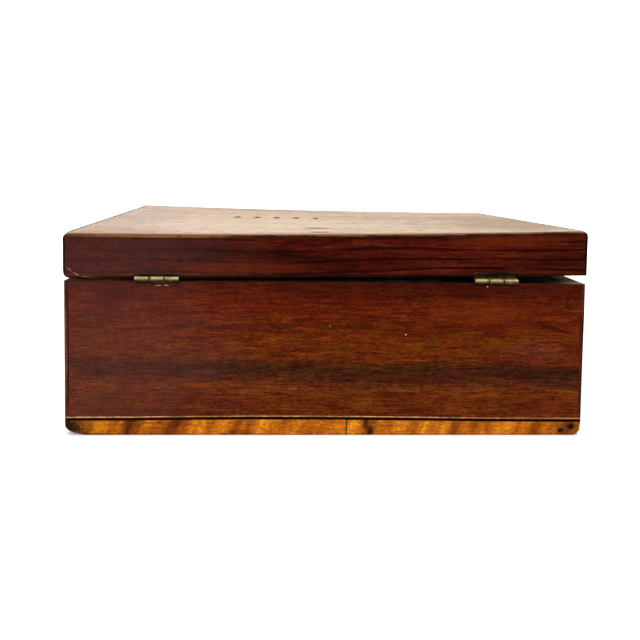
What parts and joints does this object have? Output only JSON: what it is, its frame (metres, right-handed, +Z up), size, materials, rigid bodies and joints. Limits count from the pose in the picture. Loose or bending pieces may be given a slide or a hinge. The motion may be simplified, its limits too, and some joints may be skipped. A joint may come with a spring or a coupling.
{
  "type": "document box",
  "caption": "Oblong veneered wooden document box with a warped hinged lid, strung edges, a light foot band, brass butt hinges and a box lock with a sliding bolt.",
  "frame": {"origin": "middle of the underside", "axes": "+X to the right seen from the lock side, +Y from the lock side to the hinge side, +Z up"},
  "size_m": [0.3712, 0.2595, 0.1484],
  "materials": {
    "mahogany": "old french polish, satin",
    "lid_top_mahogany": "faded and dry, soft sheen",
    "carcass_wood": "bare softwood and cedar",
    "satinwood": "polished, figured",
    "ebony": "polished",
    "boxwood": "polished",
    "edge_stringing": "polished, worn at the arris",
    "brass": "tarnished",
    "iron": "wrought, dull",
    "lining_paper": "matt paper"
  },
  "bodies": {
    "case": {"bottom_board": "carcass_wood", "front_wall": "carcass_wood", "rear_wall": "carcass_wood", "left_wall": "carcass_wood", "right_wall": "carcass_wood", "front_veneer": "mahogany", "rear_veneer": "mahogany", "left_veneer": "mahogany", "right_veneer": "mahogany", "corner_string_front_left": "edge_stringing", "corner_string_front_right": "edge_stringing", "corner_string_rear_left": "edge_stringing", "corner_string_rear_right": "edge_stringing", "base_band_front": "satinwood", "base_band_left": "satinwood", "base_band_right": "satinwood", "base_band_rear_left": "satinwood", "base_band_rear_right": "satinwood", "ebony_string_front": "ebony", "ebony_string_rear": "ebony", "ebony_string_left": "ebony", "ebony_string_right": "ebony", "boxwood_strings": "boxwood", "bottom_brads": "iron", "floor_lining": "lining_paper", "wall_lining": "lining_paper", "left_hinge_body_leaf": "brass", "right_hinge_body_leaf": "brass", "hinge_pins": "iron", "hinge_body_screws": "brass", "lock_plate": "brass", "lock_cap": "brass", "lock_pillars": "iron", "lock_key_post": "iron", "lock_screws": "brass", "keyhole_escutcheon": "brass"},
    "lid": {"left_hinge_lid_leaf": "brass", "right_hinge_lid_leaf": "brass", "hinge_lid_screws": "brass", "lid_board": "carcass_wood", "lid_front_rail": "carcass_wood", "lid_rear_rail": "carcass_wood", "lid_left_rail": "carcass_wood", "lid_right_rail": "carcass_wood", "lid_front_veneer": "mahogany", "lid_rear_veneer": "mahogany", "lid_left_veneer": "mahogany", "lid_right_veneer": "mahogany", "lid_edge_string_front": "edge_stringing", "lid_edge_string_rear": "edge_stringing", "lid_edge_string_left": "edge_stringing", "lid_edge_string_right": "edge_stringing", "lid_top_veneer": "lid_top_mahogany", "lid_lining": "lining_paper", "link_plate": "brass", "link_plate_screws": "brass"},
    "bolt": {"lock_bolt": "brass", "lock_bolt_spring": "iron"}
  },
  "joints": [
    {"name": "lid_hinge", "type": "hinge", "parent": "case", "child": "lid", "pos_m": [0, 0.1289, 0.112], "axis": [-1, 0, 0], "range_deg": [0, 180]},
    {"name": "bolt_slide", "type": "slide", "parent": "case", "child": "bolt", "axis": [1, 0, 0], "range_m": [0, 0.006]}
  ]
}
